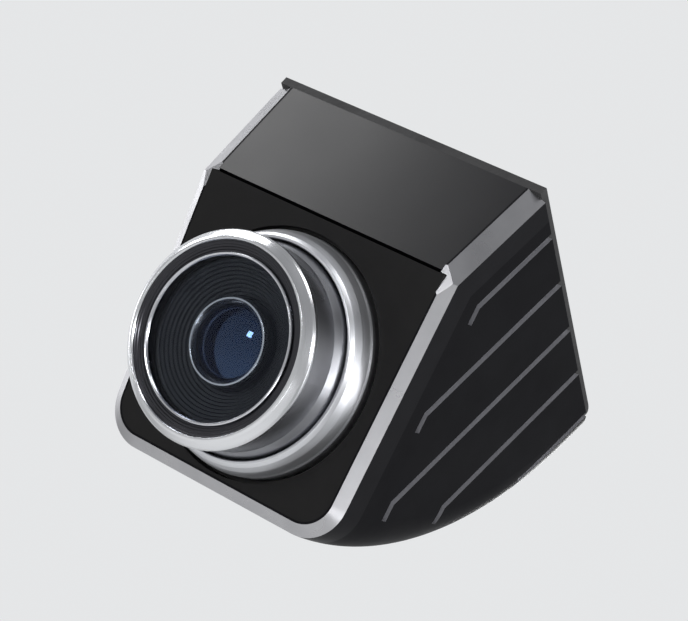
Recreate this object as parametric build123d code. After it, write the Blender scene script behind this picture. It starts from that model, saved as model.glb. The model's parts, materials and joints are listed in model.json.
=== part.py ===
from build123d import *
from math import asin, atan2, cos, radians, sin, sqrt, tan
import os

# Backup camera for a truck, trailer or car: a small wedge-shaped housing that hangs under a tailgate lip.
#
# Millimetres. The origin is the middle of the flat mounting face on top, +Z is up, the lens looks towards
# -Y and down, +X is to the right of somebody who looks at the lens. The lens sits in a turret: the polished
# collar turns in the sloping face, and the lens head tilts inside the collar on two pins.

# ---- driving dimensions --------------------------------------------------------------------------
TOP_WIDTH = 30.0          # across the mounting face
BOTTOM_WIDTH = 26.0       # across the lowest edge, so the sides taper
DEPTH = 32.0              # front to back
UPPER_HEIGHT = 12.0       # the upright upper panel, from the mounting face to the crease
FACE_LENGTH = 25.2        # the sloping lower panel, from the crease to the lowest edge
FACE_ANGLE = 35.0         # how far the sloping panel leans back from upright, in degrees
BACK_UPRIGHT = 3.0        # straight part of the back before it curves
EDGE_ROUND = 4.0          # rounding between the sides and the curved back

FRAME_DEPTH = 3.2         # the front frame's depth, from the front surfaces
PANEL_DEPTH = 1.4         # the two front panels are set this deep into the frame
UPPER_TRIM = (1.6, 0.9)   # the bright bevel round the front: across the upper panel, and down the side
LOWER_TRIM = (1.0, 0.7)   # the same, narrower, round the sloping panel
TRIM_LAND = 0.2           # flat strip between the bevel and the panels
CREASE_GAP = 0.3          # dark line between the two front panels
WALL = 2.0                # housing wall
PAD = 0.8                 # foam sealing pad on the mounting face
PLATE = 2.2               # mounting plate
SEAL = 0.5                # flat gasket under the plate and behind the frame

GROOVE_PITCH = 5.9        # the five grooves on each side
GROOVE_FIRST = 5.0        # first groove, behind the front edge
GROOVE_WIDTH = 0.62
GROOVE_DROP = 0.40        # depth of a groove into the side
GROOVE_ENDS = (10.4, 18.6, 24.4, 19.3, 9.8)   # how far down each groove runs before its hook
GROOVE_HOOK = 1.7         # the short slanted end of each groove

LENS_DROP = 12.6          # lens axis, down the sloping panel from the crease
BALL_R = 9.7              # lens head's ball, centred where the axis meets the sloping panel
SEAT_R = 9.8              # the collar is bored to this and closes round the ball in front
COLLAR_MOUTH = 2.6        # how far the collar stands out of the panel
COLLAR_R = 10.75          # the collar where it meets the panel
HUB_R = 10.3              # the part of the collar that turns in the frame
HUB_END = -4.9
LIP_START = 2.35          # the collar's lip opens from here to its mouth
FLANGE_BACK = -1.37       # the flange rides just above the frame
FRAME_BORE = 10.36
RECESS_R = 11.15          # dark ring round the collar
BARREL_R = 9.0
RIM_R = 9.35
RIM_FRONT = 8.0           # the lens rim stands this far out of the panel
CAVITY_R = 7.7            # inside of the lens head
PIN_R = 0.5

MOUNT_SPACING = 18.0      # two M3 inserts in the mounting plate
INSERT_BORE = 1.25
INSERT_R = 2.1
INSERT_LENGTH = 4.0
CABLE_Y = 8.5             # cable outlet, behind the middle
CABLE_BORE = 2.1
GLAND_R = 3.5
GLAND_LIP = 1.2           # height of the bush's wider part, under the plate

PILOT_R = 0.8             # pilot holes for the 1.6 mm housing screws
SHANK_R = 0.78
PILOT_LENGTH = 3.6        # of the frame screws' pilot holes, and their middle behind the frame
PILOT_MIDDLE = 1.7
POST_R = 2.0              # screw posts behind the frame's upright part, and behind its sloping part
LOW_POST_R = 1.9
POST_LENGTH = 6.0
PLATE_POST_R = 2.2        # screw posts under the mounting plate
PLATE_POST_LENGTH = 6.5
FRAME_HOLE_R = 0.9        # clearance holes in the frame
HEAD_SPACE_R = 1.5        # counterbores for the frame screws' heads
HEAD_SPACE = 0.9
PLATE_HEAD_R = 1.75       # counterbores for the plate screws' heads
PLATE_HEAD = 1.0
LEDGE = 1.6               # ledge that carries the mounting plate
SEAT_WALL = 0.9           # wall left beside the plate's seat
RIM_INSET = 0.7           # how far the ledge and the gasket stand in from the wall

PIN_LENGTH = 1.45
PIN_PLAY = 0.05           # running clearance of the pins in the ball
WASHER_R = 11.05          # friction washer and snap ring, outside
SNAP_START = -3.95        # the snap ring, behind the frame
SNAP_END = -4.5
TURN_SPACE_R = 11.3       # room that the turning hub needs inside the housing
CAP_JOIN = -4.5           # the ball's rear cap starts here
CAP_END = -8.6            # its flat back
SKIRT_R = 8.3             # the rim's skirt screws into the ball
SKIRT_END = 5.9
RIM_BACK = 6.8            # the rim's shoulder
LENS_R = 3.9              # lens barrel's front flange
GLASS_FRONT = 7.3
GLASS_BACK = 6.68
BAFFLE_FRONT = 6.4
HOLDER_MIDDLE = 0.25      # middle of the lens holder's foot
HOLDER_FOOT = 1.1         # the foot's thickness
EAR_X = 5.4               # the foot's two screws
SENSOR_BOARD = -0.3       # front of the sensor board
SENSOR_BOARD_THICK = 0.8

# ---- places worked out from them -----------------------------------------------------------------
LEAN = radians(FACE_ANGLE)
FRONT_Y = -DEPTH / 2
BACK_Y = DEPTH / 2
DOWN = Vector(0, sin(LEAN), -cos(LEAN))          # down the sloping panel
OUT = Vector(0, -cos(LEAN), -sin(LEAN))          # out of the sloping panel
CREASE = Vector(0, FRONT_Y, -UPPER_HEIGHT)
LOW = CREASE + DOWN * FACE_LENGTH                # lowest edge
PIVOT = CREASE + DOWN * LENS_DROP                # where the lens axis meets the panel
FACE = Plane(origin=PIVOT, x_dir=(1, 0, 0), z_dir=OUT)
SIDE_SLOPE = (TOP_WIDTH - BOTTOM_WIDTH) / 2 / -LOW.Z

# The back is an arc that starts upright at BACK_Y and ends at the lowest edge.
_dy, _dz = BACK_Y - LOW.Y, -BACK_UPRIGHT - LOW.Z
BACK_R = (_dy**2 + _dz**2) / (2 * _dy)
ARC_Y, ARC_Z = BACK_Y - BACK_R, -BACK_UPRIGHT


# ---- helpers -------------------------------------------------------------------------------------
def prism(points, half_width=40.0):
    """A side-view outline (y, z), drawn out both ways along X."""
    outline = Plane.YZ * Polyline(*points, close=True)
    return extrude(make_face(outline), half_width, both=True)


def crease_behind(inset):
    """The crease line's (y, z) when both front surfaces are moved back by inset."""
    return FRONT_Y + inset, -UPPER_HEIGHT + inset * tan(LEAN / 2)


def behind_front(inset, reach=60.0):
    """Everything further back than inset behind the front surfaces."""
    y, z = crease_behind(inset)
    far = (y + reach * sin(LEAN), z - reach * cos(LEAN))
    return prism([(y, 5), (reach, 5), (reach, -reach), far, (y, z)])


def wedge(wall=0.0, front=0.0):
    """The camera's outer form, with sides and back moved in by wall and the front by front."""
    y0, z0 = crease_behind(front)
    radius = BACK_R - wall
    # lowest point: the sloping line from (y0, z0) meets the back's arc
    py, pz = y0 - ARC_Y, z0 - ARC_Z
    along = py * DOWN.Y + pz * DOWN.Z
    run = -along + sqrt(along**2 - (py**2 + pz**2 - radius**2))
    low = (y0 + run * DOWN.Y, z0 + run * DOWN.Z)
    end_angle = atan2(low[1] - ARC_Z, low[0] - ARC_Y)
    middle = (ARC_Y + radius * cos(end_angle / 2), ARC_Z + radius * sin(end_angle / 2))
    back = ARC_Y + radius
    outline = Line((y0, 0), (back, 0)) + Line((back, 0), (back, ARC_Z))
    outline += ThreePointArc((back, ARC_Z), middle, low)
    outline += Line(low, (y0, z0)) + Line((y0, z0), (y0, 0))
    form = extrude(make_face(Plane.YZ * outline), TOP_WIDTH, both=True)
    # the sides lean in towards the bottom; their outline reaches past the form at both ends
    above, below = 5, LOW.Z - 6
    half_top = TOP_WIDTH / 2 - wall + above * SIDE_SLOPE
    half_low = TOP_WIDTH / 2 - wall + below * SIDE_SLOPE
    sides = [(-half_top, above), (half_top, above), (half_low, below), (-half_low, below)]
    form &= extrude(make_face(Plane.XZ * Polyline(*sides, close=True)), 2 * DEPTH, both=True)
    # the edges between the sides and the back run down, away from the middle and behind the lowest edge
    edges = [e for e in form.edges() if abs(e.center().X) > BOTTOM_WIDTH / 3 and e.center().Y > low[0] + 2
             and abs((e @ 0).X - (e @ 1).X) < EDGE_ROUND and abs((e @ 0).Z - (e @ 1).Z) > 1.5]
    return fillet(edges, EDGE_ROUND - wall)


def turned(*outline):
    """A ring or disc on the lens axis from an outline of (radius, distance out of the panel)."""
    flat = make_face(Plane.XZ * Polyline(*outline, close=True))
    return FACE.location * revolve(flat, Axis.Z)


def tube(outer, inner, start, end):
    return turned((inner, start), (outer, start), (outer, end), (inner, end))


def disc(radius, start, end):
    return turned((0, start), (radius, start), (radius, end), (0, end))


def on_face(shape, x=0.0, up=0.0, out=0.0):
    """Places a shape that was made at the origin, its Z along the lens axis, on the sloping panel."""
    return FACE.location * Pos(x, up, out) * shape


def upright(radius, height, x, y, top):
    """A plain vertical cylinder whose upper end is at top."""
    return Pos(x, y, top - height / 2) * Cylinder(radius, height)


def block(x, y, z, width, depth, height):
    """A box centred on x and y that stands on z."""
    return Pos(x, y, z + height / 2) * Box(width, depth, height)


def slice_between(z_low, z_high):
    """Everything between two heights."""
    return block(0, 0, z_low, 2 * TOP_WIDTH, 2 * DEPTH, z_high - z_low)


def screw(head_r, head_h, shank_r, length, slot=0.25):
    """A pan-head screw: head from 0 to head_h, shank below, a cross recess in the head."""
    body = Pos(0, 0, head_h / 2) * Cylinder(head_r, head_h)
    body += Pos(0, 0, -length / 2) * Cylinder(shank_r, length)
    for turn in (0, 90):
        body -= Rot(0, 0, turn) * Pos(0, 0, head_h) * Box(head_r * 1.3, slot, head_h)
    return body


# ---- where the screws go -------------------------------------------------------------------------
FRAME_SCREW_UP = [(x, -5.0) for x in (-10.9, 10.9)]           # (x, z), through the frame's upright part
FRAME_SCREW_LOW = [(x, -9.0) for x in (-9.2, 9.2)]            # (x, up the face), through its sloping part
PLATE_SCREWS = [(x, y) for x in (-11.2, 11.2) for y in (-7.6, 11.4)]
BOARD_SCREWS = [(x, y) for x in (-7.2, 7.2) for y in (-3.2, 11.4)]
BOARD_TOP = -8.3                                             # main board: its upper side, its thickness
BOARD = 1.0
COIL_AT = (-5.4, 6.6)
COIL_HEIGHT = 2.2
FRAME_BACK_Y = FRONT_Y + FRAME_DEPTH
PLATE_TOP = -PAD
PLATE_LOW = PLATE_TOP - PLATE


# ---- housing and front ---------------------------------------------------------------------------
def side_grooves():
    """Five hooked grooves on each side; each is a bar swept down the side and cut into it."""
    cuts = []
    for number, end in enumerate(GROOVE_ENDS):
        y = FRONT_Y + GROOVE_FIRST + number * GROOVE_PITCH
        hook = Vector(0, y, -end) + DOWN * GROOVE_HOOK
        half = GROOVE_WIDTH / 2
        path = [(y - half, 2), (y + half, 2), (y + half, -end + half * tan(LEAN / 2)),
                (hook.Y + half * cos(LEAN), hook.Z + half * sin(LEAN)),
                (hook.Y - half * cos(LEAN), hook.Z - half * sin(LEAN)),
                (y - half, -end - half * tan(LEAN / 2))]
        cuts.append(prism(path))
    return cuts


def screw_posts():
    """Posts for the frame and plate screws, kept out of the way of the turning hub."""
    posts = []
    for x, z in FRAME_SCREW_UP:
        post = Rot(90, 0, 0) * Cylinder(POST_R, POST_LENGTH)
        posts.append(Pos(x, FRAME_BACK_Y + POST_LENGTH / 2, z) * post)
    for x, up in FRAME_SCREW_LOW:
        posts.append(on_face(Cylinder(LOW_POST_R, POST_LENGTH), x, up, -FRAME_DEPTH - POST_LENGTH / 2))
    for x, y in PLATE_SCREWS:
        posts.append(upright(PLATE_POST_R, PLATE_POST_LENGTH, x, y, PLATE_LOW - SEAL))
    inside = wedge(wall=0.5) & behind_front(FRAME_DEPTH)
    return [(post & inside) - disc(TURN_SPACE_R + 0.1, -30, 0) for post in posts]


def make_housing():
    shell = wedge() & behind_front(FRAME_DEPTH)
    shell &= below_pad()
    shell -= wedge(wall=WALL, front=1.0)
    shell -= on_face(Rot(0, 0, 90) * Cylinder(TURN_SPACE_R, 5.4), out=-3.5)
    ledge = wedge(wall=SEAT_WALL) - (wedge(wall=WALL + RIM_INSET) & behind_front(FRAME_DEPTH + 1.7))
    ledge &= slice_between(PLATE_LOW - SEAL - LEDGE, PLATE_LOW - SEAL) & behind_front(FRAME_DEPTH)
    shell += ledge
    for post in screw_posts():
        shell += post
    shell -= wedge(wall=SEAT_WALL, front=1.0) & slice_between(PLATE_LOW - SEAL, 5)
    for x, z in FRAME_SCREW_UP:
        shell -= Pos(x, FRAME_BACK_Y + PILOT_MIDDLE, z) * Rot(90, 0, 0) * Cylinder(PILOT_R, PILOT_LENGTH)
    for x, up in FRAME_SCREW_LOW:
        shell -= on_face(Cylinder(PILOT_R, PILOT_LENGTH), x, up, -FRAME_DEPTH - PILOT_MIDDLE)
    for x, y in PLATE_SCREWS:
        shell -= upright(PILOT_R, 5.5, x, y, PLATE_LOW - SEAL + 0.1)
    skin = wedge() - wedge(wall=GROOVE_DROP)
    for cut in side_grooves():
        shell -= cut & skin
    return shell


def front_slab(depth, wall=0.0):
    return wedge(wall=wall) - behind_front(depth)


def bevelled(frame):
    """Cuts the bright bevel along the sides and the lowest edge, the upright face first."""
    for normal, (across, down) in ((Vector(0, -1, 0), UPPER_TRIM), (OUT, LOWER_TRIM)):
        front = [f for f in frame.faces() if (f.normal_at() - normal).length < 0.01 and f.area > 100][0]
        long_edges = [e for e in front.edges() if e.length > 2]
        edges = [e for e in long_edges if abs(e.center().X) > 1 or e.center().Z < LOW.Z + 3]
        frame = chamfer(edges, across, down, reference=front)
    return frame


def below_pad():
    return prism([(-40, PLATE_TOP), (40, PLATE_TOP), (40, -60), (-40, -60)])


def panel_space(upper):
    """Where one of the two front panels lies: inside the bevel, on its side of the crease."""
    trim = UPPER_TRIM if upper else LOWER_TRIM
    return front_slab(PANEL_DEPTH, wall=trim[0] + TRIM_LAND) & below_pad() & split_at_crease(upper)


def split_at_crease(upper):
    """One side of the plane that halves the crease's angle."""
    half = LEAN / 2
    crease = Plane(origin=CREASE, x_dir=(1, 0, 0), z_dir=(0, -sin(half), cos(half)))
    side = Pos(0, 0, 30 if upper else -30) * Box(80, 80, 60)
    return crease.location * side


def crease_slot():
    """The narrow dark gap between the two panels, along the crease."""
    half = LEAN / 2
    along = Plane(origin=CREASE, x_dir=(1, 0, 0), z_dir=(0, -sin(half), cos(half)))
    return along.location * Box(80, 4 * PANEL_DEPTH, CREASE_GAP)


def make_front_frame():
    frame = bevelled(front_slab(FRAME_DEPTH)) & below_pad()
    frame -= panel_space(True)
    frame -= panel_space(False)
    frame -= disc(FRAME_BORE, -FRAME_DEPTH - 1, 1)
    frame -= disc(RECESS_R, -PANEL_DEPTH, 1)
    for x, z in FRAME_SCREW_UP:
        frame -= Pos(x, FRONT_Y + 1, z) * Rot(90, 0, 0) * Cylinder(FRAME_HOLE_R, 8)
        head_space = Rot(90, 0, 0) * Cylinder(HEAD_SPACE_R, HEAD_SPACE)
        frame -= Pos(x, FRONT_Y + PANEL_DEPTH + HEAD_SPACE / 2, z) * head_space
    for x, up in FRAME_SCREW_LOW:
        frame -= on_face(Cylinder(FRAME_HOLE_R, 8), x, up)
        frame -= on_face(Cylinder(HEAD_SPACE_R, HEAD_SPACE), x, up, -PANEL_DEPTH - HEAD_SPACE / 2)
    return frame


def make_upper_panel():
    return panel_space(True) - crease_slot()


def make_face_plate():
    return panel_space(False) - crease_slot() - disc(RECESS_R, -4, 1)


def make_frame_screws():
    """Four screws hold the frame to the housing; the panels cover their heads."""
    one = screw(1.35, 0.8, SHANK_R, 3.8)
    seat = PANEL_DEPTH + HEAD_SPACE
    upper = [Pos(x, FRONT_Y + seat, z) * Rot(90, 0, 0) * one for x, z in FRAME_SCREW_UP]
    return upper + [on_face(one, x, up, -seat) for x, up in FRAME_SCREW_LOW]


# ---- mounting side -------------------------------------------------------------------------------
def inside_top(wall, z_low, z_high):
    """The wedge's plan between two heights, moved in by wall, behind the front frame."""
    return wedge(wall=wall) & behind_front(FRAME_DEPTH) & slice_between(z_low, z_high)


def make_plate_gasket():
    ring = inside_top(1.0, PLATE_LOW - SEAL, PLATE_LOW)
    ring -= wedge(wall=WALL + RIM_INSET) & behind_front(FRAME_DEPTH + 1.7)
    for x, y in PLATE_SCREWS:
        ring -= upright(1.0, 9, x, y, 0)
    return ring


def make_mount_plate():
    plate = inside_top(1.0, PLATE_LOW, PLATE_TOP)
    for x in (-MOUNT_SPACING / 2, MOUNT_SPACING / 2):
        plate += upright(2.8, INSERT_LENGTH + 0.4 - PLATE, x, 0, PLATE_LOW)
        plate -= upright(INSERT_R, INSERT_LENGTH, x, 0, PLATE_TOP)
    for x, y in BOARD_SCREWS:
        plate += upright(1.4, PLATE_LOW - BOARD_TOP, x, y, PLATE_LOW)
        plate -= upright(0.56, 4.0, x, y, BOARD_TOP + 3.6)   # blind hole for the board's screw
    plate -= upright(GLAND_R, 9, 0, CABLE_Y, 1)
    for x, y in PLATE_SCREWS:
        plate -= upright(0.95, 9, x, y, 0)
        plate -= upright(PLATE_HEAD_R, PLATE_HEAD, x, y, PLATE_TOP)
    return plate


def make_plate_screws():
    one = screw(1.6, 0.85, SHANK_R, 5.0)
    return [Pos(x, y, PLATE_TOP - PLATE_HEAD) * one for x, y in PLATE_SCREWS]


def make_thread_inserts():
    inserts = []
    for x in (-MOUNT_SPACING / 2, MOUNT_SPACING / 2):
        insert = upright(INSERT_R, INSERT_LENGTH, x, 0, PLATE_TOP)
        waist = upright(INSERT_R + 1, 0.7, x, 0, PLATE_TOP - 1.6)
        waist -= upright(INSERT_R - 0.25, 0.7, x, 0, PLATE_TOP - 1.6)
        insert -= waist
        inserts.append(insert - upright(INSERT_BORE, INSERT_LENGTH, x, 0, PLATE_TOP))
    return inserts


def make_mount_pad():
    """Foam seal between the camera and the vehicle, cut out for the two screws and the cable."""
    pad = wedge(wall=0.35) & slice_between(PLATE_TOP, 0)
    pad -= upright(GLAND_R + 0.9, 4, 0, CABLE_Y, 1)
    for x in (-MOUNT_SPACING / 2, MOUNT_SPACING / 2):
        pad -= upright(INSERT_R + 0.2, 4, x, 0, 1)
    return pad


def make_cable_gland():
    """Rubber bush that the lead would leave through; its upper end is level with the plate."""
    gland = upright(GLAND_R, PLATE, 0, CABLE_Y, PLATE_TOP)
    gland += upright(GLAND_R + 0.7, GLAND_LIP, 0, CABLE_Y, PLATE_LOW)
    return gland - upright(CABLE_BORE, 9, 0, CABLE_Y, 1)


# ---- turret --------------------------------------------------------------------------------------
def make_turret_collar():
    """Polished collar: flared outside, bored for the ball, with a hub that turns in the front frame."""
    seat_front = (sqrt(SEAT_R**2 - LIP_START**2), LIP_START)
    seat_angle = asin(LIP_START / SEAT_R) / 2
    groove_top = SNAP_START + 0.05
    groove_low = SNAP_END - 0.05
    groove_floor = HUB_R - 0.3
    with BuildSketch(Plane.XZ) as half:
        with BuildLine():
            ThreePointArc((SEAT_R, 0), (SEAT_R * cos(seat_angle), SEAT_R * sin(seat_angle)), seat_front)
            # lip, flared outside, flange, hub and the snap ring's groove
            Polyline(seat_front, (9.62, COLLAR_MOUTH), (9.86, COLLAR_MOUTH - 0.04), (10.12, 2.22),
                     (10.42, 1.45), (COLLAR_R - 0.1, 0.55), (COLLAR_R, 0.30), (COLLAR_R, FLANGE_BACK),
                     (HUB_R, FLANGE_BACK), (HUB_R, groove_top), (groove_floor, groove_top),
                     (groove_floor, groove_low), (HUB_R, groove_low), (HUB_R, HUB_END), (SEAT_R, HUB_END),
                     (SEAT_R, 0))
        make_face()
    collar = FACE.location * revolve(half.sketch, Axis.Z)
    for side in (0, 180):
        collar -= on_face(Rot(0, 0, side) * Pos(HUB_R - 0.5, 0, 0) * Rot(0, 90, 0) * Cylinder(PIN_R, 1.4))
    return collar


def make_trunnion_pins():
    """Two pins, fixed in the collar, that the lens head tilts on."""
    pin = Pos(HUB_R + 0.2 - PIN_LENGTH / 2, 0, 0) * Rot(0, 90, 0) * Cylinder(PIN_R, PIN_LENGTH)
    return [on_face(Rot(0, 0, side) * pin) for side in (0, 180)]


def make_friction_washer():
    """Thin washer between the frame and the snap ring; it holds the turret where it is set."""
    return tube(WASHER_R, HUB_R + 0.04, -FRAME_DEPTH - 0.62, -FRAME_DEPTH - 0.06)


def make_retaining_ring():
    """Snap ring in the hub's groove; the gap in it lets it spring over the hub."""
    ring = tube(WASHER_R, HUB_R - 0.28, SNAP_END, SNAP_START)
    return ring - on_face(Box(2.4, 6, 3), 0, -HUB_R, SNAP_START)


def make_turret_seal():
    """Rubber wiper round the collar's foot, in the face plate's hole."""
    return tube(RECESS_R, COLLAR_R + 0.06, -PANEL_DEPTH, -PANEL_DEPTH + 0.45)


# ---- lens head -----------------------------------------------------------------------------------
def make_lens_ball():
    """The head's body: a ball that the collar holds, with a short barrel in front."""
    barrel_start = sqrt(BALL_R**2 - BARREL_R**2)
    with BuildSketch(Plane.XZ) as half:
        with BuildLine():
            ball_end = (sqrt(BALL_R**2 - CAP_JOIN**2), CAP_JOIN)
            front_wall = (BARREL_R, RIM_BACK)
            Polyline((CAVITY_R, CAP_JOIN), ball_end)
            ThreePointArc(ball_end, (BALL_R, 0), (BARREL_R, barrel_start))
            Polyline((BARREL_R, barrel_start), front_wall, (SKIRT_R, RIM_BACK), (SKIRT_R, SKIRT_END),
                     (CAVITY_R, SKIRT_END), (CAVITY_R, CAP_JOIN))
        make_face()
    ball = FACE.location * revolve(half.sketch, Axis.Z)
    for side in (0, 180):
        bore = Pos(BALL_R - 0.35, 0, 0) * Rot(0, 90, 0) * Cylinder(PIN_R + PIN_PLAY, 1.3)
        ball -= on_face(Rot(0, 0, side) * bore)
    return ball


def make_ball_cap():
    """Closes the back of the ball, with an opening for the ribbon's socket."""
    edge = sqrt(BALL_R**2 - CAP_JOIN**2)
    end = sqrt(BALL_R**2 - CAP_END**2)
    middle_angle = (atan2(CAP_JOIN, edge) + atan2(CAP_END, end)) / 2
    middle = (BALL_R * cos(middle_angle), BALL_R * sin(middle_angle))
    inside = CAP_END + 0.7
    with BuildSketch(Plane.XZ) as half:
        with BuildLine():
            Line((0, CAP_END), (end, CAP_END))
            ThreePointArc((end, CAP_END), middle, (edge, CAP_JOIN))
            Polyline((edge, CAP_JOIN), (6.9, CAP_JOIN), (6.4, -5.8), (3.6, inside), (0, inside),
                     (0, CAP_END))
        make_face()
    cap = FACE.location * revolve(half.sketch, Axis.Z)
    return cap - on_face(Box(4.6, 2.0, 3), 0, 0, CAP_END)


def make_lens_rim():
    """Bright front ring: a bevelled nose, with a skirt that screws into the ball."""
    return turned((CAVITY_R, SKIRT_END), (SKIRT_R, SKIRT_END), (SKIRT_R, RIM_BACK), (RIM_R, RIM_BACK),
                  (RIM_R, 7.20), (RIM_R - 0.14, 7.42), (8.74, 7.90), (8.52, RIM_FRONT), (8.30, RIM_FRONT),
                  (8.16, 7.88), (CAVITY_R, 7.56))


def make_glass_retainer():
    """Thin ring that holds the cover glass in the rim."""
    return turned((7.02, GLASS_FRONT), (CAVITY_R, GLASS_FRONT), (CAVITY_R, 7.56), (7.42, 7.70),
                  (7.22, 7.70), (7.02, 7.50))


def make_cover_glass():
    return disc(CAVITY_R, GLASS_BACK, GLASS_FRONT)


def make_glass_seal():
    return tube(CAVITY_R, 7.0, BAFFLE_FRONT, GLASS_BACK)


def make_lens_baffle():
    """Black stepped funnel behind the glass."""
    return turned((7.0, BAFFLE_FRONT), (CAVITY_R, BAFFLE_FRONT), (CAVITY_R, 5.9), (6.9, 5.6), (5.0, 4.4),
                  (LENS_R + 0.15, 4.1), (LENS_R + 0.15, 4.7), (4.75, 4.95), (4.95, 5.45), (5.65, 5.65),
                  (5.85, 6.05), (6.7, 6.15))


def make_lens_barrel():
    """Threaded barrel that holds the lens elements."""
    return turned((2.0, 1.3), (3.45, 1.3), (3.45, 4.0), (LENS_R, 4.0), (LENS_R, 5.95), (3.72, 6.2),
                  (3.5, 6.2), (3.3, 5.8), (3.3, 4.3), (2.7, 4.3), (2.7, 3.1), (2.3, 3.1), (2.3, 2.1),
                  (2.0, 2.1))


def dome(radius, edge_z, rise, thick):
    """A round glass element with a bulging front: flat back, rim at edge_z, top at edge_z + rise."""
    ball = (radius**2 + rise**2) / (2 * rise)
    angle = asin(radius / ball) / 2
    top = (0, edge_z + rise)
    between = (ball * sin(angle), edge_z + rise - ball * (1 - cos(angle)))
    with BuildSketch(Plane.XZ) as half:
        with BuildLine():
            ThreePointArc(top, between, (radius, edge_z))
            Polyline((radius, edge_z), (radius, edge_z - thick), (0, edge_z - thick), top)
        make_face()
    return FACE.location * revolve(half.sketch, Axis.Z)


def make_front_element():
    return dome(3.3, 5.45, 0.75, 1.0)


def make_middle_element():
    return dome(2.7, 3.9, 0.35, 0.7)


def make_rear_element():
    return dome(2.3, 2.85, 0.2, 0.7)


def make_lens_holder():
    """Square foot on the sensor board with a threaded tube for the lens barrel."""
    holder = tube(4.5, 3.45, 0.8, 3.6) + on_face(Box(8.4, 8.4, HOLDER_FOOT), out=HOLDER_MIDDLE)
    holder -= on_face(Box(6.0, 6.0, 1.5), out=HOLDER_MIDDLE)
    for x in (-EAR_X, EAR_X):
        holder += on_face(Cylinder(1.25, HOLDER_FOOT), x, out=HOLDER_MIDDLE)
        holder += on_face(Box(1.8, 2.5, HOLDER_FOOT), x * 0.87, out=HOLDER_MIDDLE)
    holder -= on_face(Box(6.0, 6.0, HOLDER_FOOT), out=HOLDER_MIDDLE)
    for x in (-EAR_X, EAR_X):
        holder -= on_face(Cylinder(0.55, 4), x, out=HOLDER_MIDDLE)
    return holder


def make_infrared_filter():
    return on_face(Box(5.9, 5.9, 0.3), out=HOLDER_MIDDLE + 0.4)


def make_image_sensor():
    return on_face(Box(5.0, 4.4, 0.65), out=SENSOR_BOARD + 0.33)


def make_sensor_board():
    board = disc(7.4, SENSOR_BOARD - SENSOR_BOARD_THICK, SENSOR_BOARD)
    for x in (-EAR_X, EAR_X):
        board -= on_face(Cylinder(0.65, 3), x, 0, SENSOR_BOARD)
    return board


def make_sensor_screws():
    one = screw(0.95, 0.5, 0.53, 1.8, slot=0.18)
    back = SENSOR_BOARD - SENSOR_BOARD_THICK
    return [on_face(Rot(180, 0, 0) * one, x, 0, back) for x in (-EAR_X, EAR_X)]


def make_sensor_socket():
    body = on_face(Box(4.4, 1.8, 1.9), 0, 0, SENSOR_BOARD - SENSOR_BOARD_THICK - 0.95)
    return body - on_face(Box(3.6, 0.7, 1.2), 0, 0, SENSOR_BOARD - 2.4)


# ---- main board ----------------------------------------------------------------------------------
def make_main_board():
    board = block(0, 4.15, BOARD_TOP - BOARD, 17.6, 17.5, BOARD)
    for x, y in BOARD_SCREWS:
        board -= upright(0.7, 4, x, y, BOARD_TOP + 1)
    return board


def make_board_screws():
    one = screw(1.1, 0.6, 0.54, 4.2, slot=0.2)
    return [Pos(x, y, BOARD_TOP - BOARD) * Rot(180, 0, 0) * one for x, y in BOARD_SCREWS]


def make_video_chip():
    return block(0, 3.6, BOARD_TOP - BOARD - 0.9, 7.0, 7.0, 0.9)


def make_power_coil():
    x, y = COIL_AT
    coil = block(x, y, BOARD_TOP, 4.2, 4.2, COIL_HEIGHT)
    return coil - upright(1.3, 0.4, x, y, BOARD_TOP + COIL_HEIGHT)


def make_capacitors():
    cans = []
    for x, y in ((6.6, 4.4), (6.6, 7.4)):
        can = upright(1.25, 2.9, x, y, BOARD_TOP + 3.2) + block(x, y, BOARD_TOP, 2.7, 2.7, 0.3)
        cans.append(can)
    return cans


def make_cable_socket():
    body = block(0, 10.6, BOARD_TOP, 6.4, 3.6, 2.6)
    return body - Pos(0, 12.3, BOARD_TOP + 1.4) * Box(5.2, 2.6, 1.5)


def make_ribbon_socket():
    body = block(0, -3.2, BOARD_TOP, 6.0, 2.6, 1.5)
    return body - Pos(0, -4.4, BOARD_TOP + 0.8) * Box(5.0, 1.8, 0.6)


# ---- names and export ----------------------------------------------------------------------------
MAKERS = {
    "housing": make_housing,
    "front_frame": make_front_frame,
    "upper_panel": make_upper_panel,
    "face_plate": make_face_plate,
    "frame_screws": make_frame_screws,
    "plate_gasket": make_plate_gasket,
    "mount_plate": make_mount_plate,
    "plate_screws": make_plate_screws,
    "thread_inserts": make_thread_inserts,
    "mount_pad": make_mount_pad,
    "cable_gland": make_cable_gland,
    "turret_collar": make_turret_collar,
    "trunnion_pins": make_trunnion_pins,
    "friction_washer": make_friction_washer,
    "retaining_ring": make_retaining_ring,
    "turret_seal": make_turret_seal,
    "lens_ball": make_lens_ball,
    "ball_cap": make_ball_cap,
    "lens_rim": make_lens_rim,
    "glass_retainer": make_glass_retainer,
    "cover_glass": make_cover_glass,
    "glass_seal": make_glass_seal,
    "lens_baffle": make_lens_baffle,
    "lens_barrel": make_lens_barrel,
    "front_element": make_front_element,
    "middle_element": make_middle_element,
    "rear_element": make_rear_element,
    "lens_holder": make_lens_holder,
    "infrared_filter": make_infrared_filter,
    "image_sensor": make_image_sensor,
    "sensor_board": make_sensor_board,
    "sensor_screws": make_sensor_screws,
    "sensor_socket": make_sensor_socket,
    "main_board": make_main_board,
    "board_screws": make_board_screws,
    "video_chip": make_video_chip,
    "power_coil": make_power_coil,
    "capacitors": make_capacitors,
    "cable_socket": make_cable_socket,
    "ribbon_socket": make_ribbon_socket,
}


def main():
    os.makedirs("parts", exist_ok=True)
    for name, make in MAKERS.items():
        made = make()
        shape = made if isinstance(made, list) else [made]
        solids = [s for part in shape for s in part.solids()]
        export_step(Compound(children=solids) if len(solids) > 1 else solids[0], f"parts/{name}.step")


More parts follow.
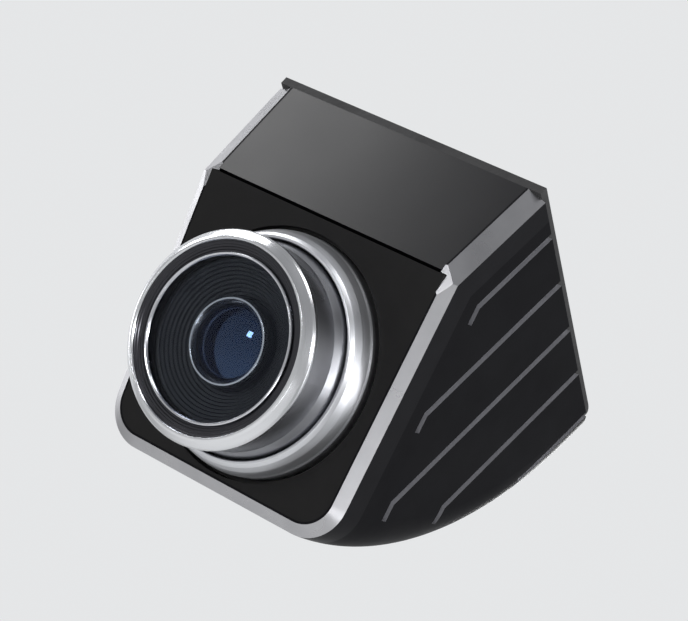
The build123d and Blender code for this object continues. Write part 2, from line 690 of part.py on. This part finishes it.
if __name__ == "__main__":
    main()
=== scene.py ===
import json
import math

import bmesh
import bpy
from mathutils import Matrix, Vector


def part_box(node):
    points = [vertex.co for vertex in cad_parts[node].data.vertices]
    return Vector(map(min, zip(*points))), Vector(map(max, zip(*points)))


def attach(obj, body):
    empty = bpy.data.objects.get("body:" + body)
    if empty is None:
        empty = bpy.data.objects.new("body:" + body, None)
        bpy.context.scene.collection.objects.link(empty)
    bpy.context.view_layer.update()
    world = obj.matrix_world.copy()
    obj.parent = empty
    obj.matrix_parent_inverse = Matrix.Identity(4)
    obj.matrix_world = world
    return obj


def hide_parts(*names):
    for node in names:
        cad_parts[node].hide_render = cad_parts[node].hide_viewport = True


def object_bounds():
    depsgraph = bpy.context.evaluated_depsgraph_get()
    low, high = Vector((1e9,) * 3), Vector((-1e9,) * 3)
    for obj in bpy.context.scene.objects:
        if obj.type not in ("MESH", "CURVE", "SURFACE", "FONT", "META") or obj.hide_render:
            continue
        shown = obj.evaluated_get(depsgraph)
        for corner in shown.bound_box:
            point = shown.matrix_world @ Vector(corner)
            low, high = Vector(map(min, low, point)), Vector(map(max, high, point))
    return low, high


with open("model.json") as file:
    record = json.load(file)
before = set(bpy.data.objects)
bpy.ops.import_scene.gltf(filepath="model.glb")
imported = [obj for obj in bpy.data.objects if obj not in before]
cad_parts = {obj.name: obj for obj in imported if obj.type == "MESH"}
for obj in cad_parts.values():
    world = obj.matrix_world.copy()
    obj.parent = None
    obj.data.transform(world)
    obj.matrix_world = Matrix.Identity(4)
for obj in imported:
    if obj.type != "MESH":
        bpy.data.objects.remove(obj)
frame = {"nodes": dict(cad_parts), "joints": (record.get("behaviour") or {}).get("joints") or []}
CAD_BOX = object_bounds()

# A wedge-shaped backup camera: the CAD frame's nodes get their materials, and the turned pieces of its lens
# turret are made again as smooth lathe meshes. Outlines are in millimetres, everything else in metres.

MM = 0.001
NODES = frame["nodes"]

# ---- places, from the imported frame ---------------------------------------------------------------
TURN = next(j for j in frame["joints"] if j["name"] == "turret_turn")
PIVOT = Vector(TURN["pos_m"])                       # where the lens axis crosses the sloping panel
OUT = Vector(TURN["axis"]).normalized()             # out of the sloping panel
RIGHT = Vector((1, 0, 0))
UP_FACE = OUT.cross(RIGHT).normalized()             # up the sloping panel
FRAME_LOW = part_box("front_frame")[0]
PANEL_LOW, PANEL_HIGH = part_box("upper_panel")


# ---- material helpers ----------------------------------------------------------------------------
def principled(name, color, roughness, metallic=0.0, **sockets):
    mat = bpy.data.materials.new(name)
    mat.use_nodes = True
    shader = mat.node_tree.nodes["Principled BSDF"]
    shader.inputs["Base Color"].default_value = (*color, 1)
    shader.inputs["Roughness"].default_value = roughness
    shader.inputs["Metallic"].default_value = metallic
    for key, value in sockets.items():
        shader.inputs[key.replace("_", " ")].default_value = value
    return mat


def node(mat, kind, **values):
    """A new shader node; each value is a property of the node or, failing that, an input socket."""
    made = mat.node_tree.nodes.new(kind)
    for key, value in values.items():
        if hasattr(made, key):
            setattr(made, key, value)
        else:
            made.inputs[key.replace("_", " ")].default_value = value
    return made


def link(mat, source, target):
    mat.node_tree.links.new(source, target)


def noise(mat, scale, detail=3.0, coords="Object", stretch=(1, 1, 1)):
    where = node(mat, "ShaderNodeTexCoord")
    mapping = node(mat, "ShaderNodeMapping", Scale=stretch)
    texture = node(mat, "ShaderNodeTexNoise", Scale=scale, Detail=detail)
    link(mat, where.outputs[coords], mapping.inputs["Vector"])
    link(mat, mapping.outputs["Vector"], texture.inputs["Vector"])
    return texture


def vary_roughness(mat, source, low, high):
    span = node(mat, "ShaderNodeMapRange", To_Min=low, To_Max=high)
    span.inputs["From Min"].default_value = 0.3
    span.inputs["From Max"].default_value = 0.7
    link(mat, source.outputs["Fac"], span.inputs["Value"])
    link(mat, span.outputs["Result"], mat.node_tree.nodes["Principled BSDF"].inputs["Roughness"])


def vary_color(mat, source, one, two):
    mix = node(mat, "ShaderNodeMix", data_type="RGBA")
    factor, first, second, result = mix.inputs[0], mix.inputs[6], mix.inputs[7], mix.outputs[2]
    first.default_value = (*one, 1)
    second.default_value = (*two, 1)
    link(mat, source.outputs["Fac"], factor)
    link(mat, result, mat.node_tree.nodes["Principled BSDF"].inputs["Base Color"])


def bump(mat, source, strength, distance):
    relief = node(mat, "ShaderNodeBump", Strength=strength, Distance=distance)
    link(mat, source.outputs["Fac"], relief.inputs["Height"])
    link(mat, relief.outputs["Normal"], mat.node_tree.nodes["Principled BSDF"].inputs["Normal"])


def grained(name, color, lighter, rough, metallic=0.0, grain=5000, relief=0.25, depth=0.00002, **sockets):
    """A moulded or coated surface: fine grain, cloudy tone and uneven gloss."""
    mat = principled(name, color, sum(rough) / 2, metallic, **sockets)
    vary_roughness(mat, noise(mat, 130, detail=4), *rough)
    vary_color(mat, noise(mat, 420, detail=5), color, lighter)
    bump(mat, noise(mat, grain, detail=2), relief, depth)
    return mat


def turned_metal(name, color, lighter, rough, relief=0.10):
    """Metal turned on a lathe: fine marks run round it, so they follow the lathe meshes' UV map."""
    rings = 260
    mat = principled(name, color, sum(rough) / 2, 1.0)
    marks = noise(mat, 1.0, detail=3, coords="UV", stretch=(5, rings, 1))
    vary_roughness(mat, marks, *rough)
    vary_color(mat, noise(mat, 1.0, detail=2, coords="UV", stretch=(14, rings / 6, 1)), color, lighter)
    bump(mat, marks, relief, 0.00001)
    return mat


def clear_pane(name, tint, gloss_color, ior):
    """Thin coated glass: straight through, with a mirror reflection that grows towards the edge-on view."""
    mat = bpy.data.materials.new(name)
    mat.use_nodes = True
    tree = mat.node_tree
    tree.nodes.remove(tree.nodes["Principled BSDF"])
    through = node(mat, "ShaderNodeBsdfTransparent")
    through.inputs["Color"].default_value = (*tint, 1)
    gloss = node(mat, "ShaderNodeBsdfGlossy")
    gloss.inputs["Color"].default_value = (*gloss_color, 1)
    gloss.inputs["Roughness"].default_value = 0.0
    fresnel = node(mat, "ShaderNodeFresnel", IOR=ior)
    mix = node(mat, "ShaderNodeMixShader")
    link(mat, fresnel.outputs["Fac"], mix.inputs["Fac"])
    link(mat, through.outputs["BSDF"], mix.inputs[1])
    link(mat, gloss.outputs["BSDF"], mix.inputs[2])
    link(mat, mix.outputs["Shader"], tree.nodes["Material Output"].inputs["Surface"])
    return mat


def coated_lens(name, depth_color, tint, ior):
    """Polished glass over a dark inside; the coating tints what it reflects, a little unevenly."""
    mat = principled(name, depth_color, 0.03, IOR=ior, Specular_Tint=tint, Coat_Weight=0.35,
                     Coat_Roughness=0.02)
    vary_color(mat, noise(mat, 260, detail=2), depth_color, tuple(c * 1.8 for c in depth_color))
    return mat


# ---- materials -----------------------------------------------------------------------------------
FINE = 0.00001          # bump depths, in metres
COARSE = 0.0001

MATS = {
    # coatings and metals that show
    "shell": grained("coated_shell", (0.0022, 0.0022, 0.0030), (0.0045, 0.0045, 0.006), (0.42, 0.54),
                     grain=5200, relief=0.22, IOR=1.3, Specular_IOR_Level=0.10),
    # Painted highlight: light grey on the groove faces stands in for the light that the groove edges catch.
    "groove": grained("painted_groove_highlight", (0.24, 0.24, 0.26), (0.31, 0.31, 0.33), (0.34, 0.46),
                      metallic=0.4, grain=7000),
    "bevel": grained("polished_bevel", (0.36, 0.36, 0.38), (0.46, 0.46, 0.48), (0.24, 0.34),
                     metallic=1.0, grain=9000, relief=0.10, depth=FINE),
    "frame": grained("coated_frame", (0.004, 0.004, 0.005), (0.008, 0.008, 0.010), (0.36, 0.46),
                     grain=6000, relief=0.2, IOR=1.3, Specular_IOR_Level=0.12),
    "panel": grained("satin_panel", (0.0045, 0.0045, 0.006), (0.007, 0.007, 0.009), (0.30, 0.34),
                     grain=8000, relief=0.05, depth=FINE, IOR=1.36),
    "plate": grained("matte_plate", (0.005, 0.0047, 0.005), (0.009, 0.0085, 0.009), (0.46, 0.58),
                     grain=4200, relief=0.3, Specular_IOR_Level=0.2),
    "barrel": grained("smoked_metal", (0.30, 0.305, 0.33), (0.36, 0.365, 0.39), (0.26, 0.34),
                      metallic=1.0, grain=9000, relief=0.05, depth=FINE),
    "collar": turned_metal("satin_chrome", (0.60, 0.61, 0.64), (0.70, 0.71, 0.75), (0.30, 0.40)),
    "rim": turned_metal("polished_chrome", (0.66, 0.67, 0.70), (0.76, 0.77, 0.80), (0.16, 0.24), relief=0.04),
    "ring": turned_metal("retainer_metal", (0.55, 0.56, 0.60), (0.68, 0.69, 0.73), (0.14, 0.22), relief=0.05),
    "anodised": turned_metal("black_anodised", (0.045, 0.045, 0.05), (0.07, 0.07, 0.08), (0.25, 0.38)),
    "black": grained("black_plastic", (0.004, 0.004, 0.005), (0.008, 0.008, 0.009), (0.34, 0.46),
                     grain=1500, relief=0.04, Specular_IOR_Level=0.35),
    # glass
    "pane": clear_pane("cover_pane", (0.92, 0.94, 0.96), (0.55, 0.60, 0.75), 1.26),
    # Partly painted shade: the front lens is opaque, and its near-black base colour stands in for the dim
    # inside seen through the clear glass, where black parts also lie.
    "coated": coated_lens("coated_lens", (0.0015, 0.003, 0.012), (0.16, 0.42, 1.0, 1), 1.75),
    "inner": coated_lens("inner_lens", (0.003, 0.003, 0.008), (0.7, 0.35, 1.0, 1), 1.8),
    "filter": coated_lens("filter_glass", (0.10, 0.26, 0.27), (0.6, 1.0, 0.9, 1), 1.5),
    "sensor": coated_lens("sensor_window", (0.02, 0.03, 0.05), (0.8, 0.7, 1.0, 1), 1.5),
    # mounting side and inside
    "rubber": grained("soft_rubber", (0.010, 0.010, 0.010), (0.02, 0.02, 0.02), (0.65, 0.85),
                      grain=2600, relief=0.5),
    "foam": grained("foam_pad", (0.020, 0.020, 0.021), (0.045, 0.045, 0.047), (0.85, 0.97),
                    grain=1700, relief=0.9, depth=COARSE),
    "cast": grained("cast_alloy", (0.36, 0.36, 0.37), (0.48, 0.48, 0.50), (0.38, 0.6),
                    metallic=1.0, grain=2400, relief=0.3),
    "brass": grained("turned_brass", (0.72, 0.50, 0.20), (0.82, 0.62, 0.30), (0.2, 0.34),
                     metallic=1.0, grain=5000),
    "steel": grained("zinc_steel", (0.50, 0.50, 0.52), (0.62, 0.62, 0.66), (0.24, 0.4),
                     metallic=1.0, grain=6000),
    "nylon": grained("nylon", (0.72, 0.69, 0.60), (0.80, 0.78, 0.70), (0.4, 0.5), grain=4000),
    "board": grained("solder_mask", (0.010, 0.085, 0.035), (0.016, 0.12, 0.05), (0.25, 0.36),
                     grain=3000, relief=0.15),
    "chip": grained("chip_epoxy", (0.018, 0.018, 0.018), (0.03, 0.03, 0.03), (0.5, 0.62), grain=7000),
    "acetal": grained("acetal", (0.62, 0.62, 0.60), (0.70, 0.70, 0.68), (0.35, 0.45), grain=4000),
}


# ---- mesh helpers --------------------------------------------------------------------------------
def rounded(outline, steps=4):
    """The outline of (x, y, rounding) with each corner rounded, as far as its two sides allow."""
    done = []
    for i, corner in enumerate(outline):
        here = Vector(corner[:2])
        rounding = corner[2]
        to_before = Vector(outline[i - 1][:2]) - here
        to_after = Vector(outline[(i + 1) % len(outline)][:2]) - here
        angle = to_before.angle(to_after)
        on_axis = here.x < 1e-6
        nearly_straight = angle > math.radians(176)
        if rounding <= 0 or on_axis or nearly_straight:
            done.append(here)
            continue
        reach = min(rounding / math.tan(angle / 2), 0.45 * to_before.length, 0.45 * to_after.length)
        start = here + to_before.normalized() * reach
        end = here + to_after.normalized() * reach
        for k in range(steps + 1):
            t = k / steps
            done.append(start * (1 - t) ** 2 + here * 2 * t * (1 - t) + end * t * t)
    return done


def turned_faces(points, segments):
    """Vertices, faces and UVs of the outline turned about the lens axis; points on the axis meet in one."""
    verts, rings = [], []
    for p in points:
        if p.x < 1e-6:
            rings.append([len(verts)] * segments)
            verts.append(PIVOT + OUT * (p.y * MM))
            continue
        rings.append(list(range(len(verts), len(verts) + segments)))
        for k in range(segments):
            a = 2 * math.pi * k / segments
            around = RIGHT * math.cos(a) + UP_FACE * math.sin(a)
            verts.append(PIVOT + around * (p.x * MM) + OUT * (p.y * MM))
    lengths = [0.0]
    for i in range(1, len(points) + 1):
        lengths.append(lengths[-1] + (points[i % len(points)] - points[i - 1]).length)
    faces, uvs = [], []
    for i, low in enumerate(rings):
        following = (i + 1) % len(points)
        high = rings[following]
        if points[i].x < 1e-6 and points[following].x < 1e-6:
            continue
        for k in range(segments):
            n = (k + 1) % segments
            quad = [(low[k], k, i), (low[n], k + 1, i), (high[n], k + 1, i + 1), (high[k], k, i + 1)]
            corners = {vert: (vert, around, along) for vert, around, along in reversed(quad)}
            face = [corners[vert] for vert in dict.fromkeys(vert for vert, _, _ in quad)]
            faces.append([vert for vert, _, _ in face])
            uvs.extend((around / segments, lengths[along] / lengths[-1]) for _, around, along in face)
    return verts, faces, uvs


def fix_normals(mesh):
    bm = bmesh.new()
    bm.from_mesh(mesh)
    bmesh.ops.recalc_face_normals(bm, faces=bm.faces)
    bm.to_mesh(mesh)
    bm.free()


def lathe(name, outline, body, replaces, mat, segments=180):
    """A turned piece from an outline of (radius, distance out of the panel, rounding) in millimetres."""
    verts, faces, uvs = turned_faces(rounded(outline), segments)
    mesh = bpy.data.meshes.new(name)
    mesh.from_pydata(verts, [], faces)
    layer = mesh.uv_layers.new(name="UVMap")
    for loop, uv in zip(layer.data, uvs):
        loop.uv = uv
    mesh.validate()
    mesh.shade_smooth()
    made = bpy.data.objects.new(name, mesh)
    bpy.context.scene.collection.objects.link(made)
    mesh.materials.append(mat)
    fix_normals(mesh)
    made.modifiers.new("even_normals", "WEIGHTED_NORMAL").keep_sharp = True
    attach(made, body)
    if replaces:
        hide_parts(*replaces)


def paint_faces(obj, mat, chosen):
    """Gives the faces of a CAD node that chosen(centre in mm, normal) picks another material."""
    obj.data.materials.append(mat)
    index = len(obj.data.materials) - 1
    for poly in obj.data.polygons:
        if chosen(poly.center / MM, poly.normal):
            poly.material_index = index


# ---- CAD nodes that stay -------------------------------------------------------------------------
NODE_MATERIALS = {
    "shell": ["housing"],
    "frame": ["front_frame"],
    "panel": ["upper_panel"],
    "plate": ["face_plate"],
    "foam": ["mount_pad"],
    "cast": ["mount_plate", "capacitors"],
    "rubber": ["plate_gasket", "cable_gland", "turret_seal", "glass_seal"],
    "steel": ["plate_screws", "frame_screws", "board_screws", "sensor_screws", "trunnion_pins",
              "retaining_ring"],
    "brass": ["thread_inserts"],
    "acetal": ["friction_washer"],
    "board": ["main_board", "sensor_board"],
    "chip": ["video_chip", "power_coil"],
    "nylon": ["cable_socket", "ribbon_socket", "sensor_socket"],
    "black": ["ball_cap", "lens_holder"],
    "barrel": ["lens_ball"],
    "inner": ["middle_element", "rear_element"],
    "filter": ["infrared_filter"],
    "sensor": ["image_sensor"],
    "pane": ["cover_glass"],
}
for key, names in NODE_MATERIALS.items():
    for name in names:
        NODES[name].data.materials.clear()
        NODES[name].data.materials.append(MATS[key])

# Bright bevel round the front: its faces lean away from the front surface that they border.
CREASE = Vector((0, FRAME_LOW.y, PANEL_LOW.z)) / MM
LEAN = math.atan2(-OUT.z, -OUT.y)
BISECTOR = Vector((0, -math.sin(LEAN / 2), math.cos(LEAN / 2)))
FRONT = Vector((0, -1, 0))
BEVEL_DEPTH = 1.3


def on_bevel(centre, normal):
    front = FRONT if (centre - CREASE).dot(BISECTOR) > 0 else OUT
    depth = (CREASE - centre).dot(front)
    return 0.6 < normal.dot(front) < 0.97 and depth < BEVEL_DEPTH


paint_faces(NODES["front_frame"], MATS["bevel"], on_bevel)

# Painted highlight: the floors and walls of the five hooked grooves on each side are painted light grey for
# the light their edges catch; sizes in millimetres.
FIRST_GROOVE, GROOVE_PITCH = 5.0, 5.9
GROOVE_ENDS = (10.4, 18.6, 24.4, 19.3, 9.8)
GROOVES = [(FRAME_LOW.y / MM + FIRST_GROOVE + GROOVE_PITCH * n, end) for n, end in enumerate(GROOVE_ENDS)]
GROOVE_HALF, HOOK = 0.33, 1.75
HALF_WIDTH, SIDE_SLOPE = 15, 2.0 / 32.64
GROOVE_REACH, EDGE_REACH = 0.8, 4.0      # the last groove runs onto the rounded rear edge


def in_groove(centre, _normal):
    side = HALF_WIDTH + SIDE_SLOPE * centre.z
    reach = EDGE_REACH if centre.y > GROOVES[-1][0] - 1 else GROOVE_REACH
    if not side - reach < abs(centre.x) < side - 0.01:
        return False
    for y, end in GROOVES:
        if -end - 0.4 < centre.z and abs(centre.y - y) < GROOVE_HALF:
            return True
        offset = Vector((0, centre.y - y, centre.z + end))
        along = -offset.dot(UP_FACE)
        if -0.2 < along < HOOK and (offset + UP_FACE * along).length < GROOVE_HALF:
            return True
    return False


paint_faces(NODES["housing"], MATS["groove"], in_groove)

# ---- turned pieces of the lens turret ------------------------------------------------------------
SEAT_R = 9.8
ball_seat = [(SEAT_R * math.cos(k * 0.03), SEAT_R * math.sin(k * 0.03), 0) for k in range(8)]
lathe("collar_ring", ball_seat + [
    (9.514, 2.35, 0), (9.62, 2.60, 0.06), (9.86, 2.56, 0.10), (10.12, 2.22, 0.3), (10.42, 1.45, 0.5),
    (10.65, 0.55, 0.3), (10.75, 0.30, 0.2), (10.75, -1.37, 0.1), (10.30, -1.37, 0), (10.30, -3.90, 0),
    (10.00, -3.90, 0), (10.00, -4.55, 0), (10.30, -4.55, 0), (10.30, -4.90, 0.1), (9.80, -4.90, 0.05)],
    "turret", ["turret_collar"], MATS["collar"])
lathe("lens_rim_ring", [
    (8.31, 5.92, 0), (8.29, 5.92, 0), (8.29, 6.78, 0), (9.35, 6.80, 0.06), (9.35, 7.18, 0.12),
    (9.22, 7.38, 0.12), (8.74, 7.88, 0.1), (8.56, 7.99, 0.08), (8.40, 7.99, 0.06), (8.31, 7.85, 0.05)],
    "lens_head", ["lens_rim"], MATS["rim"])

throat = [(7.72, 5.92, 0), (8.28, 5.92, 0), (8.28, 7.82, 0.04)]
for step in range(4):
    r, s = 8.23 - step * 0.22, 7.78 - step * 0.09
    throat += [(r, s, 0.02), (r - 0.05, s - 0.09, 0.02)]
throat += [(7.36, 7.40, 0.02), (7.36, 7.31, 0), (7.72, 7.31, 0)]
lathe("rim_throat", throat, "lens_head", [], MATS["anodised"])
lathe("glass_ring", [
    (7.02, 7.31, 0), (7.34, 7.31, 0), (7.34, 7.62, 0.05), (7.24, 7.70, 0.05), (7.12, 7.66, 0.05),
    (7.02, 7.50, 0.05)],
    "lens_head", ["glass_retainer"], MATS["ring"])

funnel = [(7.00, 6.38, 0), (7.66, 6.38, 0), (7.66, 5.90, 0), (6.90, 5.60, 0), (5.00, 4.40, 0),
          (4.06, 4.12, 0)]
for step in range(9):
    r, s = 4.08 + step * 0.32, 4.66 + step * 0.185
    funnel += [(r, s, 0.02), (r + 0.08, s + 0.17, 0.03)]
lathe("light_funnel", funnel, "lens_head", ["lens_baffle"], MATS["black"])
lathe("lens_tube", [
    (2.05, 1.32, 0), (3.44, 1.32, 0.1), (3.44, 4.00, 0), (3.88, 4.00, 0.1), (3.88, 5.82, 0.05),
    (3.30, 5.82, 0.05), (3.30, 4.30, 0), (2.70, 4.30, 0), (2.70, 3.10, 0), (2.30, 3.10, 0), (2.30, 2.10, 0),
    (2.05, 2.10, 0)],
    "lens_head", ["lens_barrel"], MATS["anodised"])
lathe("lens_ring", [
    (3.32, 5.83, 0), (3.90, 5.83, 0), (3.90, 6.02, 0.06), (3.76, 6.18, 0.06), (3.60, 6.19, 0.05),
    (3.32, 5.90, 0.05)],
    "lens_head", [], MATS["ring"])


def lens_profile(radius, edge, rise, thick, steps=14):
    """Half the outline of a lens with a bulging front and a flat back."""
    ball = (radius ** 2 + rise ** 2) / (2 * rise)
    half = math.asin(radius / ball)
    top = edge + rise
    curve = [(ball * math.sin(half * k / steps), top - ball * (1 - math.cos(half * k / steps)), 0)
             for k in range(steps + 1)]
    return curve + [(radius, edge - thick, 0), (0, edge - thick, 0)]


lathe("front_lens", lens_profile(3.29, 5.45, 0.75, 0.9), "lens_head", ["front_element"], MATS["coated"],
      segments=128)

# ---- camera --------------------------------------------------------------------------------------
CENTER = (Vector(CAD_BOX[0]) + Vector(CAD_BOX[1])) / 2
VIEW_AZIMUTH, VIEW_ELEVATION, VIEW_ROLL = 37, -26, 44
VIEW_DISTANCE, FOCAL_LENGTH = 0.235, 140
SHIFT_RIGHT, SHIFT_UP = 0.0021, 0.0047              # along the camera's own axes


def direction(azimuth, elevation):
    a, e = math.radians(azimuth), math.radians(elevation)
    return Vector((math.sin(a) * math.cos(e), -math.cos(a) * math.cos(e), math.sin(e)))


def look(obj, target, roll=0.0):
    toward = (target - obj.location).normalized()
    facing = toward.to_track_quat("-Z", "Y").to_matrix().to_4x4()
    turn = facing @ Matrix.Rotation(math.radians(roll), 4, "Z")
    obj.matrix_world = Matrix.Translation(obj.location) @ turn


camera_data = bpy.data.cameras.new("camera")
camera_data.lens = FOCAL_LENGTH
camera = bpy.data.objects.new("camera", camera_data)
bpy.context.scene.collection.objects.link(camera)
camera.location = CENTER + direction(VIEW_AZIMUTH, VIEW_ELEVATION) * VIEW_DISTANCE
look(camera, CENTER, VIEW_ROLL)
camera.location += camera.matrix_world.to_3x3() @ Vector((SHIFT_RIGHT, SHIFT_UP, 0))
bpy.context.scene.camera = camera


# ---- light and floor -----------------------------------------------------------------------------
def softbox(name, azimuth, elevation, distance, width, height, power, target=CENTER):
    data = bpy.data.lights.new(name, "AREA")
    data.shape = "RECTANGLE"
    data.size, data.size_y, data.energy = width, height, power
    lamp = bpy.data.objects.new(name, data)
    bpy.context.scene.collection.objects.link(lamp)
    lamp.location = target + direction(azimuth, elevation) * distance
    lamp.visible_camera = False
    look(lamp, target)


PANEL_LEFT = Vector((PANEL_LOW.x, PANEL_LOW.y, (PANEL_LOW.z + PANEL_HIGH.z) / 2))
softbox("panel_glow", -42, 27, 0.085, 0.022, 0.05, 0.022, target=PANEL_LEFT)
softbox("left_key", -70, 26, 0.30, 0.08, 0.20, 0.35)
softbox("right_back", 104, 24, 0.34, 0.07, 0.30, 0.35)
softbox("front_top", 22, 50, 0.34, 0.16, 0.05, 0.15)
softbox("low_fill", 60, -40, 0.34, 0.05, 0.12, 0.10)
softbox("left_strip", -100, -4, 0.34, 0.03, 0.26, 0.10)
softbox("back_fill", 205, 30, 0.45, 0.25, 0.12, 1.2)
softbox("spark", 66, 10, 0.36, 0.02, 0.02, 0.45)
softbox("lens_glint", -8, -20, 0.30, 0.035, 0.035, 0.10)
bpy.context.scene.view_settings.view_transform = "Standard"

# The studio is pale behind the object and dimmer on the side that its front reflects.
world = bpy.data.worlds.new("studio")
world.use_nodes = True
sky = world.node_tree
toward = sky.nodes.new("ShaderNodeTexCoord")
parts = sky.nodes.new("ShaderNodeSeparateXYZ")
glow = sky.nodes.new("ShaderNodeMapRange")
glow.interpolation_type = "SMOOTHSTEP"
for key, value in (("From Min", -0.5), ("From Max", 0.45), ("To Min", 0.42), ("To Max", 0.98)):
    glow.inputs[key].default_value = value
sky.links.new(toward.outputs["Generated"], parts.inputs["Vector"])
sky.links.new(parts.outputs["Y"], glow.inputs["Value"])
sky.links.new(glow.outputs["Result"], sky.nodes["Background"].inputs["Strength"])
sky.nodes["Background"].inputs["Color"].default_value = (0.80, 0.81, 0.82, 1)
bpy.context.scene.world = world

SIDE, FLOOR_Z = 4.0, -0.32
floor_mesh = bpy.data.meshes.new("floor")
corners = [(x, y, FLOOR_Z) for x, y in ((-SIDE, -SIDE), (SIDE, -SIDE), (SIDE, SIDE), (-SIDE, SIDE))]
floor_mesh.from_pydata(corners, [], [(0, 1, 2, 3)])
floor_mesh.materials.append(principled("pale_floor", (0.78, 0.78, 0.77), 0.7))
floor = bpy.data.objects.new("floor", floor_mesh)
bpy.context.scene.collection.objects.link(floor)
